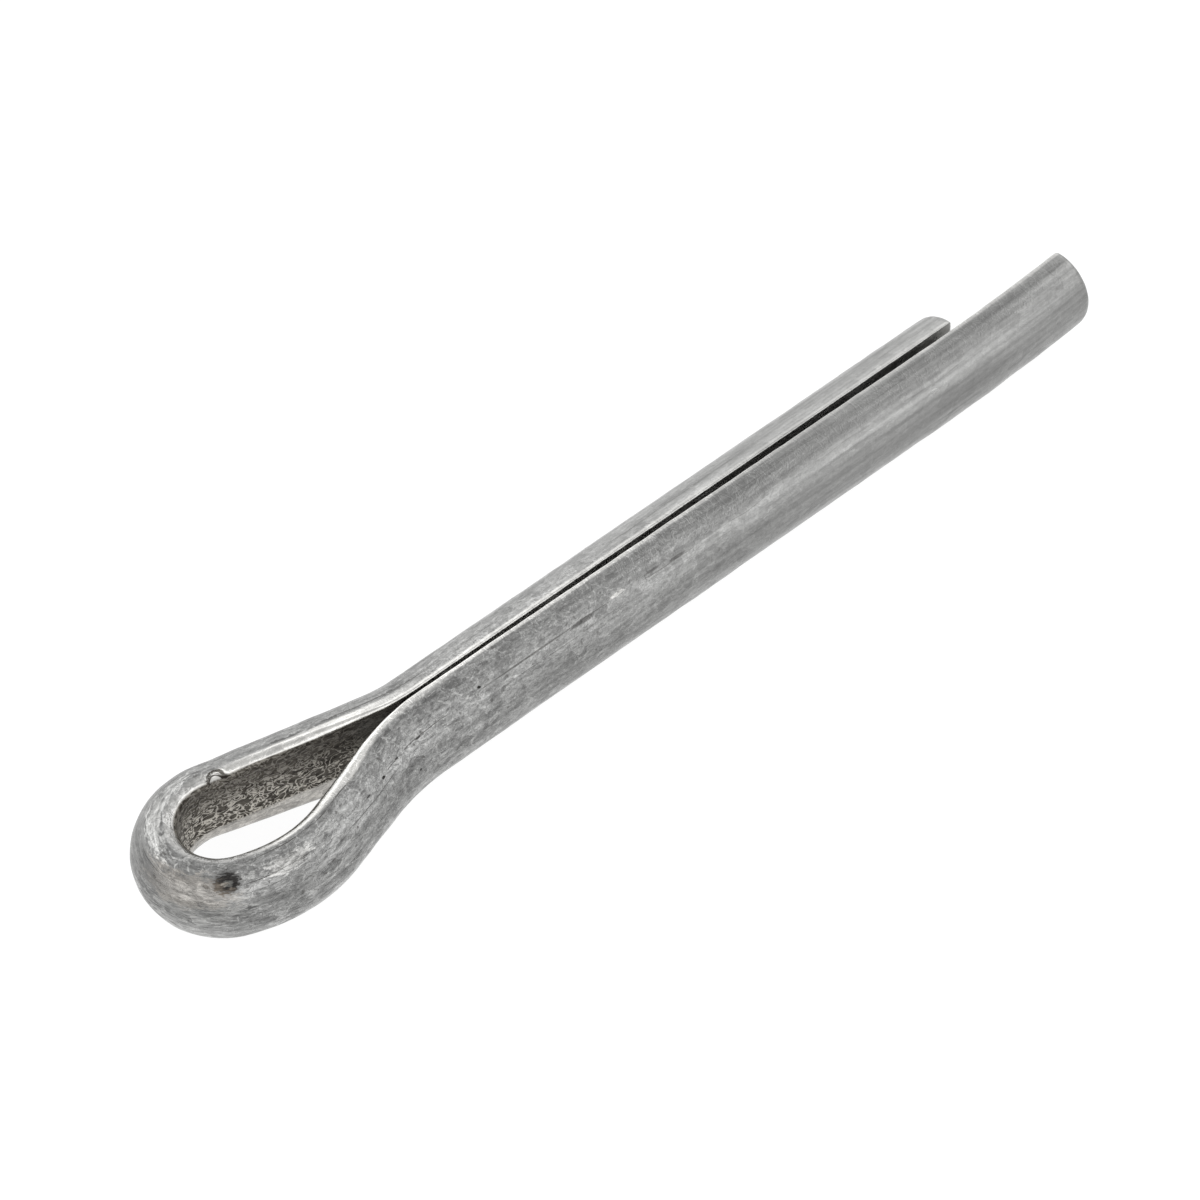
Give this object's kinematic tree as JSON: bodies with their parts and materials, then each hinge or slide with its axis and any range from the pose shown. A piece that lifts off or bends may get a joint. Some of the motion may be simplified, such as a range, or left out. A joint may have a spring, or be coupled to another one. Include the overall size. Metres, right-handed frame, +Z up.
{
  "type": "cotter pin",
  "caption": "Split pin of folded half-round steel wire: a closed eye at one end and two parallel legs of unequal length that spread to lock a castle nut or a clevis pin.",
  "frame": {"origin": "on the shank's axis, where the eye ends and the slit between the legs starts", "axes": "+X along the shank towards the tips of the legs, +Z up as the pin lies on its side, +Y towards the shorter leg"},
  "size_m": [0.0435, 0.0069, 0.0036],
  "materials": {
    "steel": "plain drawn steel wire, tumbled to a satin grey with fine scratches and small dents"
  },
  "bodies": {
    "root": {"cotter_pin": "steel"}
  },
  "joints": []
}
